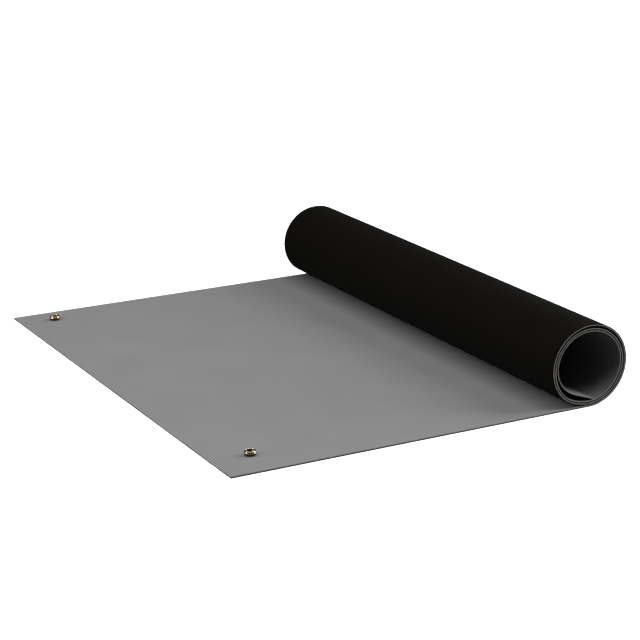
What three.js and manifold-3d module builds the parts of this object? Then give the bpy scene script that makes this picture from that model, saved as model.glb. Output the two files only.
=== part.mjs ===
// A two-layer anti static bench mat: one end lies flat and the rest is rolled up beside it.
// Millimetres, +Z up. The sheet runs from its free edge at -X to the roll at +X, and its width is along Y.
// The origin is under the middle of the whole, on the surface that the mat lies on.
import * as THREE from "three";
import { mergeVertices } from "three/addons/utils/BufferGeometryUtils.js";
import Module from "manifold-3d";

// The sheet as cut, unrolled.
const MAT_LENGTH = 1200;
const MAT_WIDTH = 600;
const TOP_THICKNESS = 0.8;
const BACK_THICKNESS = 1.2;

// The roll. A place in it is counted in turns from the line where the sheet leaves the bench.
const ROLL_RADIUS = 44.9;
const ROLL_TURNS = 3.018;
const SIDE_BULGE = 1.5;
const TURN_CLEARANCE = 0.3;
const STEP_IN_START = 0.83;

// Where a turn stands off the turn outside it: from and to in turns, lift in millimetres.
const SLACK_OVER_TOP = { from: 1.02, to: 1.85, lift: 1.4 };
const SLACK_AT_SIDE = { from: 2.02, to: 2.33, lift: 0.8 };
const FREE_END = { from: 2.72, to: ROLL_TURNS, lift: 4.5 };

// The press studs: sockets at both corners of the flat edge, and where they stand.
const STUD_INSET_NEAR = { fromEdge: 41.6, fromSide: 43 };
const STUD_INSET_FAR = { fromEdge: 40, fromSide: 32.5 };
const STUD_RADIUS = 6.2;
const STUD_BASE_RADIUS = 5.4;
const STUD_HEIGHT = 5.2;
const STUD_BELLY_HEIGHT = 2.9;
const STUD_MOUTH_RADIUS = 4.7;
const STUD_LIP_RADIUS = 5.9;
const STUD_LIP_DEPTH = 0.7;
const STUD_WALL = 0.6;
const STUD_FLOOR = 0.6;

// The hollow rivet that holds each socket: a flange let into the underside and a tube rolled over inside.
const RIVET_FLANGE_RADIUS = 5.5;
const RIVET_FLANGE_THICKNESS = 0.4;
const RIVET_TUBE_RADIUS = 2;
const RIVET_TUBE_WALL = 0.5;
const RIVET_HEAD_RADIUS = 3.2;
const RIVET_HEAD_THICKNESS = 0.5;
const FIT_CLEARANCE = 0.3;
const CUT_OVERRUN = 1;

// How finely the round shapes are stepped.
const STEPS_PER_TURN = 72;
const STUD_STEPS = 40;

const SHEET_THICKNESS = TOP_THICKNESS + BACK_THICKNESS;
const FULL_TURN = Math.PI * 2;

const wasm = await Module();
wasm.setup();

// A hump that rises from nothing and falls back to nothing over its stretch of the roll.
function slack(turn, { from, to, lift }) {
  const share = THREE.MathUtils.clamp((turn - from) / (to - from), 0, 1);
  return lift * Math.sin(Math.PI * share) ** 2;
}

// The inner end peels off slowly, cuts the corner and comes down on the turn below with its edge.
function endLift(turn, { from, to, lift }) {
  const share = THREE.MathUtils.clamp((turn - from) / (to - from), 0, 1);
  const peak = 4 / 27;
  return (lift / peak) * share * share * (1 - share);
}

function airGap(turn) {
  return TURN_CLEARANCE + slack(turn, SLACK_OVER_TOP) + slack(turn, SLACK_AT_SIDE) + endLift(turn, FREE_END);
}

// Radius of the black outer face. The first turn is a little wider than tall and steps in as it ends.
function outerRadius(turn) {
  if (turn > 1) return outerRadius(turn - 1) - SHEET_THICKNESS - airGap(turn);
  const bulge = SIDE_BULGE * Math.sin(FULL_TURN * turn) ** 2;
  const stepIn = THREE.MathUtils.smootherstep(turn, STEP_IN_START, 1);
  return ROLL_RADIUS + bulge - (SHEET_THICKNESS + TURN_CLEARANCE) * stepIn;
}

// A point on the black face, with the roll's centre at x = 0.
function outerPoint(turn) {
  const angle = FULL_TURN * turn;
  const radius = outerRadius(turn);
  return new THREE.Vector2(radius * Math.sin(angle), ROLL_RADIUS - radius * Math.cos(angle));
}

// The same place, this deep inside the sheet, measured square to its face.
function sheetPoint(turn, depth) {
  const nudge = 1e-4;
  const point = outerPoint(turn);
  if (turn === 0) return point.add(new THREE.Vector2(0, depth));
  const along = outerPoint(turn + nudge).sub(outerPoint(turn - nudge)).normalize();
  return point.add(new THREE.Vector2(-along.y, along.x).multiplyScalar(depth));
}

const turnCount = Math.round(ROLL_TURNS * STEPS_PER_TURN);
const turns = Array.from({ length: turnCount + 1 }, (_, step) => (ROLL_TURNS * step) / turnCount);

// What the roll takes up of the sheet, along its middle, leaves the flat stretch.
function rolledLength() {
  const middle = turns.map((turn) => sheetPoint(turn, SHEET_THICKNESS / 2));
  return middle.slice(1).reduce((sum, point, step) => sum + point.distanceTo(middle[step]), 0);
}

const flatLength = MAT_LENGTH - rolledLength();
const rollReach = Math.max(...turns.map((turn) => outerPoint(turn).x));
const edgeX = -(flatLength + rollReach) / 2;
const rollX = edgeX + flatLength;

// One layer of the sheet between two depths, as a section drawn in X and Z and drawn out along the width.
function layer(fromDepth, toDepth) {
  const place = (point) => point.clone().add(new THREE.Vector2(rollX, 0));
  const outerSide = turns.map((turn) => place(sheetPoint(turn, fromDepth)));
  const innerSide = turns.map((turn) => place(sheetPoint(turn, toDepth))).reverse();
  const outerEdge = new THREE.Vector2(edgeX, fromDepth);
  const innerEdge = new THREE.Vector2(edgeX, toDepth);
  const section = new THREE.Shape([outerEdge, ...outerSide, ...innerSide, innerEdge]);
  const geometry = new THREE.ExtrudeGeometry(section, { depth: MAT_WIDTH, bevelEnabled: false });
  return geometry.rotateX(Math.PI / 2).translate(0, MAT_WIDTH / 2, 0);
}

// A turned ring about the Z axis, from the corners of its section as radius and height.
function turned(corners) {
  const closed = [...corners, corners[0]].map(([radius, height]) => new THREE.Vector2(radius, height));
  return new THREE.LatheGeometry(closed, STUD_STEPS).rotateX(Math.PI / 2);
}

// An upright round plug for cutting a hole, from one height to another.
function plug(radius, bottom, top, place) {
  const geometry = new THREE.CylinderGeometry(radius, radius, top - bottom, STUD_STEPS);
  return geometry.rotateX(Math.PI / 2).translate(place.x, place.y, (bottom + top) / 2);
}

function toSolid(geometry) {
  const bare = geometry.clone();
  bare.deleteAttribute("normal");
  bare.deleteAttribute("uv");
  const merged = mergeVertices(bare);
  const mesh = new wasm.Mesh({
    numProp: 3,
    vertProperties: merged.attributes.position.array,
    triVerts: new Uint32Array(merged.index.array),
  });
  return new wasm.Manifold(mesh);
}

function cut(geometry, plugs) {
  const left = plugs.reduce((solid, tool) => solid.subtract(toSolid(tool)), toSolid(geometry));
  const mesh = left.getMesh();
  const result = new THREE.BufferGeometry();
  result.setAttribute("position", new THREE.BufferAttribute(mesh.vertProperties, 3));
  result.setIndex(new THREE.BufferAttribute(mesh.triVerts, 1));
  result.computeVertexNormals();
  return result;
}

// The socket: a drum with a rolled lip, a hollow for the earth lead's stud and a floor on the mat.
function socket() {
  const bore = RIVET_TUBE_RADIUS + FIT_CLEARANCE;
  const lipBottom = STUD_HEIGHT - STUD_LIP_DEPTH;
  return turned([
    [bore, 0],
    [STUD_BASE_RADIUS, 0],
    [STUD_RADIUS, STUD_BELLY_HEIGHT],
    [STUD_RADIUS, lipBottom],
    [STUD_LIP_RADIUS, STUD_HEIGHT],
    [STUD_MOUTH_RADIUS + STUD_WALL / 2, STUD_HEIGHT],
    [STUD_MOUTH_RADIUS, lipBottom + STUD_LIP_DEPTH / 2],
    [STUD_MOUTH_RADIUS, lipBottom],
    [STUD_RADIUS - STUD_WALL, STUD_BELLY_HEIGHT],
    [STUD_BASE_RADIUS - STUD_WALL, STUD_FLOOR],
    [bore, STUD_FLOOR],
  ]);
}

// The rivet: from the flange under the mat to the head rolled over on the socket's floor.
function rivet() {
  const bore = RIVET_TUBE_RADIUS - RIVET_TUBE_WALL;
  const headBottom = SHEET_THICKNESS + STUD_FLOOR + FIT_CLEARANCE;
  return turned([
    [bore, 0],
    [RIVET_FLANGE_RADIUS, 0],
    [RIVET_FLANGE_RADIUS, RIVET_FLANGE_THICKNESS],
    [RIVET_TUBE_RADIUS, RIVET_FLANGE_THICKNESS],
    [RIVET_TUBE_RADIUS, headBottom],
    [RIVET_HEAD_RADIUS, headBottom],
    [RIVET_HEAD_RADIUS, headBottom + RIVET_HEAD_THICKNESS],
    [bore, headBottom + RIVET_HEAD_THICKNESS],
  ]);
}

const studPlaces = {
  near: { x: edgeX + STUD_INSET_NEAR.fromEdge, y: -MAT_WIDTH / 2 + STUD_INSET_NEAR.fromSide },
  far: { x: edgeX + STUD_INSET_FAR.fromEdge, y: MAT_WIDTH / 2 - STUD_INSET_FAR.fromSide },
};

const tubeHoles = Object.values(studPlaces).map((place) =>
  plug(RIVET_TUBE_RADIUS + FIT_CLEARANCE, -CUT_OVERRUN, SHEET_THICKNESS + CUT_OVERRUN, place),
);
const flangePockets = Object.values(studPlaces).map((place) =>
  plug(RIVET_FLANGE_RADIUS + FIT_CLEARANCE, -CUT_OVERRUN, RIVET_FLANGE_THICKNESS, place),
);

const topRubber = new THREE.MeshStandardMaterial({ color: 0x8d8d8c, roughness: 0.78, metalness: 0 });
const backRubber = new THREE.MeshStandardMaterial({ color: 0x171613, roughness: 0.85, metalness: 0 });
const brass = new THREE.MeshStandardMaterial({ color: 0xc8ab6a, roughness: 0.28, metalness: 1 });

const mat = new THREE.Group();

function addPiece(name, geometry, material, place) {
  const mesh = new THREE.Mesh(geometry, material);
  mesh.name = name;
  if (place) mesh.position.set(place.x, place.y, place.z);
  mat.add(mesh);
}

addPiece("back_layer", cut(layer(0, BACK_THICKNESS), [...tubeHoles, ...flangePockets]), backRubber);
addPiece("top_layer", cut(layer(BACK_THICKNESS, SHEET_THICKNESS), tubeHoles), topRubber);
for (const [side, { x, y }] of Object.entries(studPlaces)) {
  addPiece("stud_" + side, socket(), brass, { x, y, z: SHEET_THICKNESS });
  addPiece("rivet_" + side, rivet(), brass, { x, y, z: 0 });
}

export default mat;
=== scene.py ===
import math

import bmesh
import bpy
from mathutils import Matrix, Vector


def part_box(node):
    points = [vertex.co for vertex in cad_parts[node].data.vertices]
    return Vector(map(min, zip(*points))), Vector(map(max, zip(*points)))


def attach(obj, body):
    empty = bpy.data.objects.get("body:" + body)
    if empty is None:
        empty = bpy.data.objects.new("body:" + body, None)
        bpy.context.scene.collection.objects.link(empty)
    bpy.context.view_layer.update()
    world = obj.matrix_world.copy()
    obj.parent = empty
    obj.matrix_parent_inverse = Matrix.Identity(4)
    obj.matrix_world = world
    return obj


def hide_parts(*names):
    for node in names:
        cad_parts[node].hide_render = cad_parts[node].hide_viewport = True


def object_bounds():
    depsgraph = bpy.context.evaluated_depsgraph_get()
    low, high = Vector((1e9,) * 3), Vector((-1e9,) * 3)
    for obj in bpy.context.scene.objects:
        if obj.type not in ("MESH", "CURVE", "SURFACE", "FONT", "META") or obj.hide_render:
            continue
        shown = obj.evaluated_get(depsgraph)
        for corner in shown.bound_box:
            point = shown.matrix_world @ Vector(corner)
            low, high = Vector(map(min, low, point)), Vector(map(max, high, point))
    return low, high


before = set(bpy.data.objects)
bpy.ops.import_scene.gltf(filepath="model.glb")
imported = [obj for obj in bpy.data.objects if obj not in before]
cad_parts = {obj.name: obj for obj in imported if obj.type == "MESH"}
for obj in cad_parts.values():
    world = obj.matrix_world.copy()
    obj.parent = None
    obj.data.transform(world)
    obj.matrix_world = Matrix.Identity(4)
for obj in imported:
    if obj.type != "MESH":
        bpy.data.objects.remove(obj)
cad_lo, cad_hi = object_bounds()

# A two-layer anti static bench mat, part flat and part rolled, on a pale floor. Sizes here are in
# millimetres and MM turns them into Blender's metres.
MM = 0.001

# The sheet and its roll, as in the part's own model. A place in the roll is counted in turns from
# the line where the sheet leaves the bench.
TOP_THICKNESS = 0.8
BACK_THICKNESS = 1.2
SHEET_THICKNESS = TOP_THICKNESS + BACK_THICKNESS
ROLL_RADIUS = 44.9
ROLL_TURNS = 3.018
SIDE_BULGE = 1.5
TURN_CLEARANCE = 0.3
STEP_IN_START = 0.83
SLACK_OVER_TOP = (1.02, 1.85, 1.4)
SLACK_AT_SIDE = (2.02, 2.33, 0.8)
FREE_END = (2.72, ROLL_TURNS, 4.5)

# How finely the sheet is meshed, and the softened corner of its cut edges.
STEPS_PER_TURN = 144
FLAT_STEPS = 24
WIDTH_STEPS = 24
CUT_ROUNDING = 0.12
CUT_ROUNDING_STEPS = 2
SHARP_ANGLE = math.radians(35)
FULL_TURN = 2 * math.pi
TURN_NUDGE = 1e-4

# The studs and rivets, as in the part's own model, and the roundings that only show up close.
STUD_RADIUS = 6.2
STUD_BASE_RADIUS = 5.4
STUD_HEIGHT = 5.2
STUD_BELLY_HEIGHT = 2.9
STUD_MOUTH_RADIUS = 4.7
STUD_LIP_RADIUS = 5.9
STUD_WALL = 0.6
STUD_FLOOR = 0.6
RIVET_FLANGE_RADIUS = 5.5
RIVET_FLANGE_THICKNESS = 0.4
RIVET_TUBE_RADIUS = 2.0
RIVET_TUBE_WALL = 0.5
RIVET_HEAD_RADIUS = 3.2
RIVET_HEAD_THICKNESS = 0.5
FIT_CLEARANCE = 0.3
CUT_OVERRUN = 1.0
STUD_LIP_MIDDLE = (STUD_LIP_RADIUS + STUD_MOUTH_RADIUS) / 2
LIP_ROLL = (STUD_LIP_RADIUS - STUD_MOUTH_RADIUS) / 2
BELLY_ROLL = 1.2
FOOT_ROLL = 0.4
MOUTH_ROLL = 0.3
FLANGE_ROLL = 0.15
HEAD_ROLL = 0.6
HOLLOW_CHAMFER = 0.4
STUD_STEPS = 96
CUTTER_SIDES = 64

# Colours, as linear red, green and blue. Each brass has its dull colour, bright colour and roughness.
GREY_DARK = (0.186, 0.186, 0.185)
GREY_LIGHT = (0.199, 0.199, 0.197)
# The grey cut is paler than the faces: partly the fresh cut's own paleness, partly painted light standing
# in for light on the cut ends.
CUT_GREY_PAINTED_LIT_DARK = (0.36, 0.348, 0.322)
CUT_GREY_PAINTED_LIT_LIGHT = (0.53, 0.515, 0.48)
BLACK_DARK = (0.0027, 0.0023, 0.0018)
BLACK_LIGHT = (0.0036, 0.0031, 0.0024)
CUT_BLACK_LIGHT = (0.007, 0.006, 0.005)
# Patina and painted shade: the brass is painted darker towards the foot and in the hollow.
PATINA_AND_FOOT_SHADE = (0.07, 0.048, 0.02)
STUD_BRASS = ((0.5, 0.4, 0.24), (0.85, 0.74, 0.53), 0.2)
RIVET_BRASS = ((0.4, 0.31, 0.17), (0.7, 0.58, 0.38), 0.26)
WHITE = (1.0, 1.0, 1.0)
FLOOR_COLOUR = (0.94, 0.94, 0.94)
FLOOR_BOUNCE = (0.12, 0.12, 0.12)

# Polish. A drift is how far a roughness strays from its middle, to the dull and the bright side.
GREY_ROUGHNESS = 0.72
BLACK_ROUGHNESS = 0.7
CUT_ROUGHNESS = 0.9
RUBBER_DRIFT = 0.04
DULL_DRIFT = 0.07
BRIGHT_DRIFT = 0.05
GREY_SPECULAR = 0.3
BLACK_SPECULAR = 0.055
METAL_SPECULAR = 0.5

# Relief in millimetres, and the heights over which patina and painted shade give way to worn metal.
GRAIN_DEPTH = 0.02
DRAG_DEPTH = 0.12
TOOL_MARK_DEPTH = 0.01
SHADE_TO_WORN_HEIGHTS = (SHEET_THICKNESS + 2.2, SHEET_THICKNESS + 3.8)

# Noises: features a metre, levels of detail and their roughness. Stretches are along X, Y and Z.
CLOUDS = (14, 4, 0.6)
GRAIN = (1500, 3, 0.55)
SCUFFS = (420, 5, 0.65)
DRAG = (900, 3, 0.6)
TARNISH = (650, 5, 0.6)
TOOL_MARKS = (2600, 2, 0.5)
NO_STRETCH = (1, 1, 1)
DRAG_STRETCH = (1, 1, 3)
TOOL_MARK_STRETCH = (1, 1, 0.35)
NOISE_MIDDLE = (0.3, 0.7)

# The photograph's camera. Its place is from the mat's near flat corner, its angles are in degrees, its
# lens and sensor in millimetres and its clipping in metres.
CAMERA_PLACE = (-741.1, -1573.1, 682.9)
CAMERA_YAW = 28.050
CAMERA_PITCH = 16.877
CAMERA_ROLL = -0.564
CAMERA_LENS = 110.73
SENSOR_WIDTH = 36.0
CLIP_NEAR = 0.05
CLIP_FAR = 50.0

# The studio, in metres, degrees and watts. Each softbox has its name, azimuth, elevation, distance, size
# and power.
WORLD_STRENGTH = 0.05
BACKDROP_STRENGTH = 1.0
SOFTBOXES = [
    ("right_box", 80, 28, 2.6, 2.4, 74),
    ("right_glint", 55, 32, 2.6, 0.4, 6),
    ("front_box", 20, 60, 2.6, 0.8, 6),
    ("left_glint", -92, 25, 2.6, 0.8, 24),
    ("left_box", -100, 50, 2.6, 1.4, 20),
    ("top_box", 0, 85, 2.6, 2.0, 32),
]

# The floor: its half width in metres, how far it lies under the mat in millimetres, and its glow where the
# camera sees it.
FLOOR_HALF = 8.0
FLOOR_DROP = 0.2
FLOOR_GLOW = 0.8
FLOOR_ROUGHNESS = 1.0

BODY = "root"


def share_of(turn, start, end):
    """How far a place is along a stretch of the roll, from 0 to 1."""
    return min(max((turn - start) / (end - start), 0.0), 1.0)


def slack(turn, start, end, lift):
    """A hump that rises from nothing and falls back to nothing."""
    return lift * math.sin(math.pi * share_of(turn, start, end)) ** 2


def end_lift(turn, start, end, lift):
    """The inner end peels off slowly and comes down on the turn below with its edge."""
    share = share_of(turn, start, end)
    peak = 4 / 27  # The most that share * share * (1 - share) comes to.
    return lift / peak * share * share * (1 - share)


def outer_radius(turn):
    """Radius of the black face, which steps in by a sheet's thickness as each turn ends."""
    if turn > 1:
        gap = TURN_CLEARANCE + slack(turn, *SLACK_OVER_TOP) + slack(turn, *SLACK_AT_SIDE)
        gap += end_lift(turn, *FREE_END)
        return outer_radius(turn - 1) - SHEET_THICKNESS - gap
    bulge = SIDE_BULGE * math.sin(FULL_TURN * turn) ** 2
    share = share_of(turn, STEP_IN_START, 1)
    step_in = share ** 3 * (share * (6 * share - 15) + 10)  # An even ease from 0 to 1.
    return ROLL_RADIUS + bulge - (SHEET_THICKNESS + TURN_CLEARANCE) * step_in


def outer_point(turn):
    """A point on the black face, from the roll's line of contact."""
    angle = FULL_TURN * turn
    radius = outer_radius(turn)
    return Vector((radius * math.sin(angle), ROLL_RADIUS - radius * math.cos(angle)))


def roll_station(turn):
    """The same point, and the way into the sheet there."""
    if turn == 0:
        return outer_point(0), Vector((0, 1))
    along = (outer_point(turn + TURN_NUDGE) - outer_point(turn - TURN_NUDGE)).normalized()
    return outer_point(turn), Vector((-along.y, along.x))


def sheet_stations():
    """The black face's points and inward directions from the flat edge to the inner end, in X and Z."""
    back_lo, back_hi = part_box("back_layer")
    edge_x = back_lo.x / MM
    count = round(ROLL_TURNS * STEPS_PER_TURN)
    turns = [ROLL_TURNS * step / count for step in range(count + 1)]
    rolled = [roll_station(turn) for turn in turns]
    reach = max(point.x for point, inward in rolled)
    roll_x = back_hi.x / MM - reach
    flat = [edge_x + (roll_x - edge_x) * step / FLAT_STEPS for step in range(FLAT_STEPS)]
    stations = [(Vector((x, 0)), Vector((0, 1))) for x in flat]
    return stations + [(point + Vector((roll_x, 0)), inward) for point, inward in rolled]


def new_object(name, mesh):
    piece = bpy.data.objects.new(name, mesh)
    bpy.context.scene.collection.objects.link(piece)
    return piece


def apply_modifiers(piece):
    """Puts the result of the piece's modifiers in its mesh."""
    graph = bpy.context.evaluated_depsgraph_get()
    made = bpy.data.meshes.new_from_object(piece.evaluated_get(graph))
    piece.modifiers.clear()
    piece.data = made


def soften_cuts(piece):
    """Rounds the weighted edges by a hair, so that they catch the light as cut rubber does."""
    rounding = piece.modifiers.new("rounding", "BEVEL")
    rounding.limit_method = "WEIGHT"
    rounding.width = CUT_ROUNDING * MM
    rounding.segments = CUT_ROUNDING_STEPS
    rounding.harden_normals = True
    apply_modifiers(piece)


def sheet_layer(name, stations, from_depth, to_depth, rounded_depth):
    """One layer as a bent slab. Material 0 is on its faces, and material 1 on its cut edges."""
    back_lo, back_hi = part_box("back_layer")
    width = back_hi.y - back_lo.y
    rows = [back_lo.y + width * step / WIDTH_STEPS for step in range(WIDTH_STEPS + 1)]
    shape = bmesh.new()
    weight = shape.edges.layers.float.new("bevel_weight_edge")
    sides = {}
    for depth in (from_depth, to_depth):
        places = [point + inward * depth for point, inward in stations]
        sides[depth] = [[shape.verts.new((p.x * MM, y, p.y * MM)) for y in rows] for p in places]
    outer, inner = sides[from_depth], sides[to_depth]
    last, wide = len(stations) - 1, WIDTH_STEPS
    for i in range(last):
        for j in range(wide):
            shape.faces.new((outer[i][j], outer[i][j + 1], outer[i + 1][j + 1], outer[i + 1][j]))
            shape.faces.new((inner[i][j], inner[i + 1][j], inner[i + 1][j + 1], inner[i][j + 1]))
    cuts = []
    for i in range(last):
        cuts.append((outer[i][0], outer[i + 1][0], inner[i + 1][0], inner[i][0]))
        cuts.append((outer[i][wide], inner[i][wide], inner[i + 1][wide], outer[i + 1][wide]))
    for j in range(wide):
        cuts.append((outer[0][j], inner[0][j], inner[0][j + 1], outer[0][j + 1]))
        cuts.append((outer[last][j], outer[last][j + 1], inner[last][j + 1], inner[last][j]))
    for corners in cuts:
        shape.faces.new(corners).material_index = 1
    shape.normal_update()
    rim = {vert for row in sides[rounded_depth] for vert in row}
    for edge in shape.edges:
        if edge.calc_face_angle() > SHARP_ANGLE:
            edge.smooth = False
            edge[weight] = 1.0 if all(vert in rim for vert in edge.verts) else 0.0
    for face in shape.faces:
        face.smooth = True
    mesh = bpy.data.meshes.new(name)
    shape.to_mesh(mesh)
    shape.free()
    return new_object(name, mesh)


def plug(name, radius, bottom, top, place):
    """A round cutter on an upright axis."""
    shape = bmesh.new()
    wide, tall = radius * MM, (top - bottom) * MM
    bmesh.ops.create_cone(
        shape, cap_ends=True, segments=CUTTER_SIDES, radius1=wide, radius2=wide, depth=tall
    )
    mesh = bpy.data.meshes.new(name)
    shape.to_mesh(mesh)
    shape.free()
    cutter = new_object(name, mesh)
    cutter.location = (place.x, place.y, (bottom + top) / 2 * MM)
    return cutter


def cut_out(piece, cutters):
    """Takes the cutters out of the piece, and leaves none of them behind."""
    for cutter in cutters:
        cut = piece.modifiers.new(cutter.name, "BOOLEAN")
        cut.operation = "DIFFERENCE"
        cut.solver = "EXACT"
        cut.object = cutter
    apply_modifiers(piece)
    for cutter in cutters:
        bpy.data.meshes.remove(cutter.data)


def arc(centre, radius, start, end, steps):
    """Points of a round stretch of a turned section, as radius and height. Degrees, anticlockwise."""
    angles = [math.radians(start + (end - start) * step / steps) for step in range(steps + 1)]
    return [(centre[0] + radius * math.cos(a), centre[1] + radius * math.sin(a)) for a in angles]


def turned(name, section, place, steps):
    """A ring turned about an upright axis from a closed section of radius and height points."""
    shape = bmesh.new()
    rings = []
    for step in range(steps):
        angle = FULL_TURN * step / steps
        across = Vector((math.cos(angle), math.sin(angle)))
        rings.append([
            shape.verts.new((place.x + r * MM * across.x, place.y + r * MM * across.y, place.z + z * MM))
            for r, z in section
        ])
    count = len(section)
    for step in range(steps):
        here, there = rings[step], rings[(step + 1) % steps]
        for i in range(count):
            k = (i + 1) % count
            shape.faces.new((here[i], there[i], there[k], here[k]))
    bmesh.ops.recalc_face_normals(shape, faces=shape.faces)
    for face in shape.faces:
        face.smooth = True
    for edge in shape.edges:
        if edge.calc_face_angle() > SHARP_ANGLE:
            edge.smooth = False
    mesh = bpy.data.meshes.new(name)
    shape.to_mesh(mesh)
    shape.free()
    return new_object(name, mesh)


def socket_section():
    """The drum: a floor on the mat, a wall that leans out to its belly and a lip rolled inwards."""
    lip = (STUD_LIP_MIDDLE, STUD_HEIGHT - LIP_ROLL)
    foot = STUD_BASE_RADIUS - FOOT_ROLL
    belly = (STUD_RADIUS - BELLY_ROLL, STUD_BELLY_HEIGHT)
    section = [(RIVET_TUBE_RADIUS + FIT_CLEARANCE, 0.0), (foot, 0.0)]
    section += arc((foot, FOOT_ROLL), FOOT_ROLL, -80, -10, 5)
    section += arc(belly, BELLY_ROLL, -30, 35, 8)
    section += arc(lip, LIP_ROLL, 25, 215, 14)
    section += arc(belly, BELLY_ROLL - STUD_WALL, 30, -30, 6)
    section += [(foot - STUD_WALL, STUD_FLOOR + HOLLOW_CHAMFER), (foot - 2 * STUD_WALL, STUD_FLOOR)]
    section += [(RIVET_TUBE_RADIUS + FIT_CLEARANCE, STUD_FLOOR)]
    return section


def rivet_section():
    """A hollow rivet: a flange let into the underside, a tube, and a head rolled over in the drum."""
    bore = RIVET_TUBE_RADIUS - RIVET_TUBE_WALL
    seat = SHEET_THICKNESS + STUD_FLOOR + FIT_CLEARANCE
    top = seat + RIVET_HEAD_THICKNESS
    section = arc((bore + MOUTH_ROLL, MOUTH_ROLL), MOUTH_ROLL, 180, 270, 5)
    section += arc((RIVET_FLANGE_RADIUS - FLANGE_ROLL, FLANGE_ROLL), FLANGE_ROLL, -90, 0, 4)
    section += [(RIVET_FLANGE_RADIUS, RIVET_FLANGE_THICKNESS)]
    section += [(RIVET_TUBE_RADIUS, RIVET_FLANGE_THICKNESS), (RIVET_TUBE_RADIUS, seat)]
    section += arc((RIVET_HEAD_RADIUS - RIVET_HEAD_THICKNESS, seat), RIVET_HEAD_THICKNESS, 0, 90, 6)
    section += arc((bore + HEAD_ROLL, top - HEAD_ROLL), HEAD_ROLL, 90, 180, 6)
    return section


def inputs_of(material):
    """The inputs of a material's shader, by name."""
    return material.node_tree.nodes["Principled BSDF"].inputs


def noise(material, scale, detail, roughness, stretch=NO_STRETCH):
    """A noise over the piece's own place in space, at so many features a metre."""
    nodes, links = material.node_tree.nodes, material.node_tree.links
    place = nodes.new("ShaderNodeTexCoord")
    mapping = nodes.new("ShaderNodeMapping")
    texture = nodes.new("ShaderNodeTexNoise")
    mapping.inputs["Scale"].default_value = stretch
    texture.inputs["Scale"].default_value = scale
    texture.inputs["Detail"].default_value = detail
    texture.inputs["Roughness"].default_value = roughness
    links.new(place.outputs["Object"], mapping.inputs["Vector"])
    links.new(mapping.outputs["Vector"], texture.inputs["Vector"])
    return texture.outputs["Fac"]


def spread(material, value, low, high):
    """Maps the middle of a noise's range onto low to high."""
    node = material.node_tree.nodes.new("ShaderNodeMapRange")
    node.inputs["From Min"].default_value = NOISE_MIDDLE[0]
    node.inputs["From Max"].default_value = NOISE_MIDDLE[1]
    node.inputs["To Min"].default_value = low
    node.inputs["To Max"].default_value = high
    material.node_tree.links.new(value, node.inputs["Value"])
    return node.outputs["Result"]


def blend_colours(material, value, low, high):
    """Mixes two colours, each a plain value or another node's output."""
    node = material.node_tree.nodes.new("ShaderNodeMix")
    node.data_type = "RGBA"
    for side, colour in (("A", low), ("B", high)):
        if isinstance(colour, tuple):
            node.inputs[side].default_value = (*colour, 1)
        else:
            material.node_tree.links.new(colour, node.inputs[side])
    material.node_tree.links.new(value, node.inputs["Factor"])
    return node.outputs["Result"]


def height_share(material, low, high):
    """How far up a place is between two heights above the bench, from 0 to 1."""
    nodes, links = material.node_tree.nodes, material.node_tree.links
    place = nodes.new("ShaderNodeTexCoord")
    split = nodes.new("ShaderNodeSeparateXYZ")
    share = nodes.new("ShaderNodeMapRange")
    share.inputs["From Min"].default_value = low * MM
    share.inputs["From Max"].default_value = high * MM
    links.new(place.outputs["Object"], split.inputs["Vector"])
    links.new(split.outputs["Z"], share.inputs["Value"])
    return share.outputs["Result"]


def bump(material, value, depth):
    """Raises the surface by a height map, this many millimetres deep."""
    node = material.node_tree.nodes.new("ShaderNodeBump")
    node.inputs["Distance"].default_value = depth * MM
    material.node_tree.links.new(value, node.inputs["Height"])
    return node.outputs["Normal"]


def new_material(name, metallic, specular):
    material = bpy.data.materials.new(name)
    material.use_nodes = True
    inputs_of(material)["Metallic"].default_value = metallic
    inputs_of(material)["Specular IOR Level"].default_value = specular
    return material


def rubber(name, dark, light, roughness, specular):
    """Calendered rubber: a fine even grain, with colour and polish that drift a little along it."""
    material = new_material(name, 0.0, specular)
    links = material.node_tree.links
    clouds = noise(material, *CLOUDS)
    shade = blend_colours(material, spread(material, clouds, 0, 1), dark, light)
    polish = spread(material, clouds, roughness - RUBBER_DRIFT, roughness + RUBBER_DRIFT)
    links.new(shade, inputs_of(material)["Base Color"])
    links.new(polish, inputs_of(material)["Roughness"])
    links.new(bump(material, noise(material, *GRAIN), GRAIN_DEPTH), inputs_of(material)["Normal"])
    return material


def cut_rubber(name, dark, light, specular):
    """The knife's cut: rougher than the faces, with drag marks and paler scuffs."""
    material = new_material(name, 0.0, specular)
    links = material.node_tree.links
    scuffs = noise(material, *SCUFFS)
    drag = noise(material, *DRAG, stretch=DRAG_STRETCH)
    shade = blend_colours(material, spread(material, scuffs, 0, 1), dark, light)
    links.new(shade, inputs_of(material)["Base Color"])
    links.new(bump(material, drag, DRAG_DEPTH), inputs_of(material)["Normal"])
    inputs_of(material)["Roughness"].default_value = CUT_ROUGHNESS
    return material


def brass(name, dull, bright, roughness):
    """Antique brass with fine tool marks. It is painted darker low down and in the hollow, partly patina
    and partly painted shade at the foot, and is worn bright on the lip."""
    material = new_material(name, 1.0, METAL_SPECULAR)
    links = material.node_tree.links
    tarnish = noise(material, *TARNISH)
    marks = noise(material, *TOOL_MARKS, stretch=TOOL_MARK_STRETCH)
    metal = blend_colours(material, spread(material, tarnish, 0, 1), dull, bright)
    # Patina and painted shade: darker below the lower height, bright metal above the upper one.
    patina_shade_and_wear = blend_colours(material, height_share(material, *SHADE_TO_WORN_HEIGHTS), PATINA_AND_FOOT_SHADE, metal)
    polish = spread(material, tarnish, roughness + DULL_DRIFT, roughness - BRIGHT_DRIFT)
    links.new(patina_shade_and_wear, inputs_of(material)["Base Color"])
    links.new(polish, inputs_of(material)["Roughness"])
    links.new(bump(material, marks, TOOL_MARK_DEPTH), inputs_of(material)["Normal"])
    return material


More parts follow.
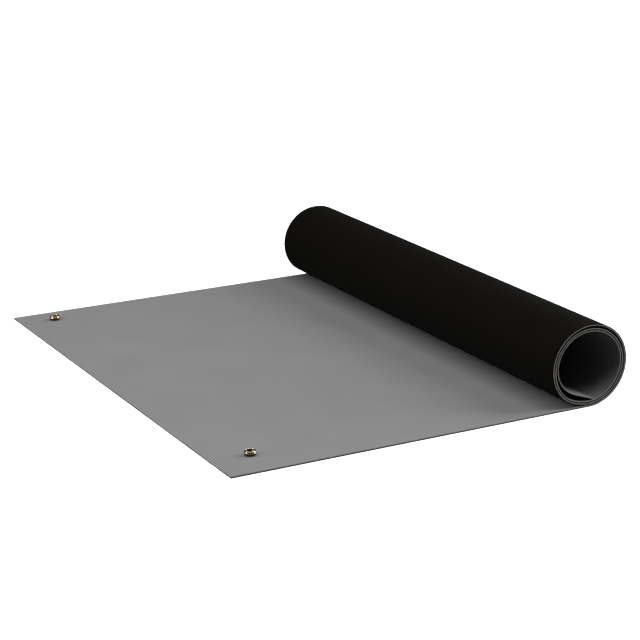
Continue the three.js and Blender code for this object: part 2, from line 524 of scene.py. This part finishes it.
def matt_floor():
    """A pale floor, lifted where the camera sees it. It throws little light back up at the mat."""
    material = new_material("pale_floor", 0.0, 0.0)
    nodes, links = material.node_tree.nodes, material.node_tree.links
    path = nodes.new("ShaderNodeLightPath")
    shade = blend_colours(material, path.outputs["Is Camera Ray"], FLOOR_BOUNCE, FLOOR_COLOUR)
    links.new(shade, inputs_of(material)["Base Color"])
    glow = nodes.new("ShaderNodeMath")
    glow.operation = "MULTIPLY"
    glow.inputs[1].default_value = FLOOR_GLOW
    links.new(path.outputs["Is Camera Ray"], glow.inputs[0])
    links.new(glow.outputs["Value"], inputs_of(material)["Emission Strength"])
    inputs_of(material)["Emission Color"].default_value = (*WHITE, 1)
    inputs_of(material)["Roughness"].default_value = FLOOR_ROUGHNESS
    return material


def add_floor():
    shape = bmesh.new()
    bmesh.ops.create_grid(shape, x_segments=1, y_segments=1, size=FLOOR_HALF)
    mesh = bpy.data.meshes.new("floor")
    shape.to_mesh(mesh)
    shape.free()
    floor = new_object("floor", mesh)
    floor.location.z = -FLOOR_DROP * MM
    mesh.materials.append(matt_floor())


def add_softbox(name, azimuth, elevation, distance, size, power):
    """A square softbox aimed at the mat. Azimuth 0 is over the near side (-Y) and 90 over the roll
    (+X)."""
    bearing, climb = math.radians(azimuth), math.radians(elevation)
    level = math.cos(climb)
    away = Vector((math.sin(bearing) * level, -math.cos(bearing) * level, math.sin(climb)))
    light = bpy.data.lights.new(name, "AREA")
    light.shape = "SQUARE"
    light.size = size
    light.energy = power
    lamp = bpy.data.objects.new(name, light)
    bpy.context.scene.collection.objects.link(lamp)
    lamp.location = away * distance
    lamp.rotation_mode = "QUATERNION"
    lamp.rotation_quaternion = (-away).to_track_quat("-Z", "Y")


def add_world(colour, strength, backdrop):
    """Dim light from all round, with a pale backdrop where the camera sees past the floor."""
    world = bpy.data.worlds.new("studio")
    world.use_nodes = True
    nodes, links = world.node_tree.nodes, world.node_tree.links
    path = nodes.new("ShaderNodeLightPath")
    level = nodes.new("ShaderNodeMapRange")
    level.inputs["To Min"].default_value = strength
    level.inputs["To Max"].default_value = backdrop
    background = nodes["Background"]
    background.inputs["Color"].default_value = (*colour, 1)
    links.new(path.outputs["Is Camera Ray"], level.inputs["Value"])
    links.new(level.outputs["Result"], background.inputs["Strength"])
    bpy.context.scene.world = world


def add_camera():
    """The photograph's viewpoint, given from the mat's near flat corner."""
    corner = Vector((cad_lo.x, cad_lo.y, 0))
    turn = Matrix.Rotation(-math.radians(CAMERA_YAW), 3, "Z")
    turn = turn @ Matrix.Rotation(math.radians(90 - CAMERA_PITCH), 3, "X")
    turn = turn @ Matrix.Rotation(math.radians(CAMERA_ROLL), 3, "Z")
    data = bpy.data.cameras.new("camera")
    data.sensor_width = SENSOR_WIDTH
    data.lens = CAMERA_LENS
    data.clip_start = CLIP_NEAR
    data.clip_end = CLIP_FAR
    camera = bpy.data.objects.new("camera", data)
    bpy.context.scene.collection.objects.link(camera)
    camera.matrix_world = Matrix.Translation(corner + Vector(CAMERA_PLACE) * MM) @ turn.to_4x4()
    bpy.context.scene.camera = camera


def stud_place(node, height):
    """The middle of a plain solid seen from above, at a height above the bench."""
    lo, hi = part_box(node)
    return Vector(((lo.x + hi.x) / 2, (lo.y + hi.y) / 2, height * MM))


def add_sheet(places):
    """Both layers of rubber, with the holes for the rivets and the pockets for their flanges."""
    stations = sheet_stations()
    back = sheet_layer("back_sheet", stations, 0, BACK_THICKNESS, 0)
    top = sheet_layer("top_sheet", stations, BACK_THICKNESS, SHEET_THICKNESS, SHEET_THICKNESS)
    for piece in (back, top):
        soften_cuts(piece)
    tube_hole = (RIVET_TUBE_RADIUS + FIT_CLEARANCE, SHEET_THICKNESS + CUT_OVERRUN)
    pocket = (RIVET_FLANGE_RADIUS + FIT_CLEARANCE, RIVET_FLANGE_THICKNESS)
    for piece, holes in ((back, (tube_hole, pocket)), (top, (tube_hole,))):
        cutters = [
            plug("cutter", radius, -CUT_OVERRUN, end, place) for place in places for radius, end in holes
        ]
        cut_out(piece, cutters)
    finishes = {
        top: (
            rubber("grey_rubber", GREY_DARK, GREY_LIGHT, GREY_ROUGHNESS, GREY_SPECULAR),
            # The grey cut's paleness is partly painted light on the cut ends.
            cut_rubber("grey_rubber_cut", CUT_GREY_PAINTED_LIT_DARK, CUT_GREY_PAINTED_LIT_LIGHT, GREY_SPECULAR),
        ),
        back: (
            rubber("black_rubber", BLACK_DARK, BLACK_LIGHT, BLACK_ROUGHNESS, BLACK_SPECULAR),
            cut_rubber("black_rubber_cut", BLACK_DARK, CUT_BLACK_LIGHT, BLACK_SPECULAR),
        ),
    }
    for piece, materials in finishes.items():
        for material in materials:
            piece.data.materials.append(material)
    dress(back, "back_layer")
    dress(top, "top_layer")


def dress(piece, node):
    """Puts a finished piece in the place of its plain solid."""
    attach(piece, BODY)
    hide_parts(node)


def add_stud(side, stud_finish, rivet_finish):
    """The brass socket on the sheet and the hollow rivet that holds it."""
    stud, rivet = "stud_" + side, "rivet_" + side
    socket = turned("socket_" + side, socket_section(), stud_place(stud, SHEET_THICKNESS), STUD_STEPS)
    socket.data.materials.append(stud_finish)
    dress(socket, stud)
    eyelet = turned("eyelet_" + side, rivet_section(), stud_place(rivet, 0), STUD_STEPS)
    eyelet.data.materials.append(rivet_finish)
    dress(eyelet, rivet)


bpy.context.scene.view_settings.view_transform = "Standard"
bpy.context.scene.view_settings.look = "None"
add_camera()
add_world(WHITE, WORLD_STRENGTH, BACKDROP_STRENGTH)
for box in SOFTBOXES:
    add_softbox(*box)
add_floor()
sides = ("near", "far")
add_sheet([stud_place("rivet_" + side, 0) for side in sides])
stud_brass = brass("stud_brass", *STUD_BRASS)
rivet_brass = brass("rivet_brass", *RIVET_BRASS)
for side in sides:
    add_stud(side, stud_brass, rivet_brass)
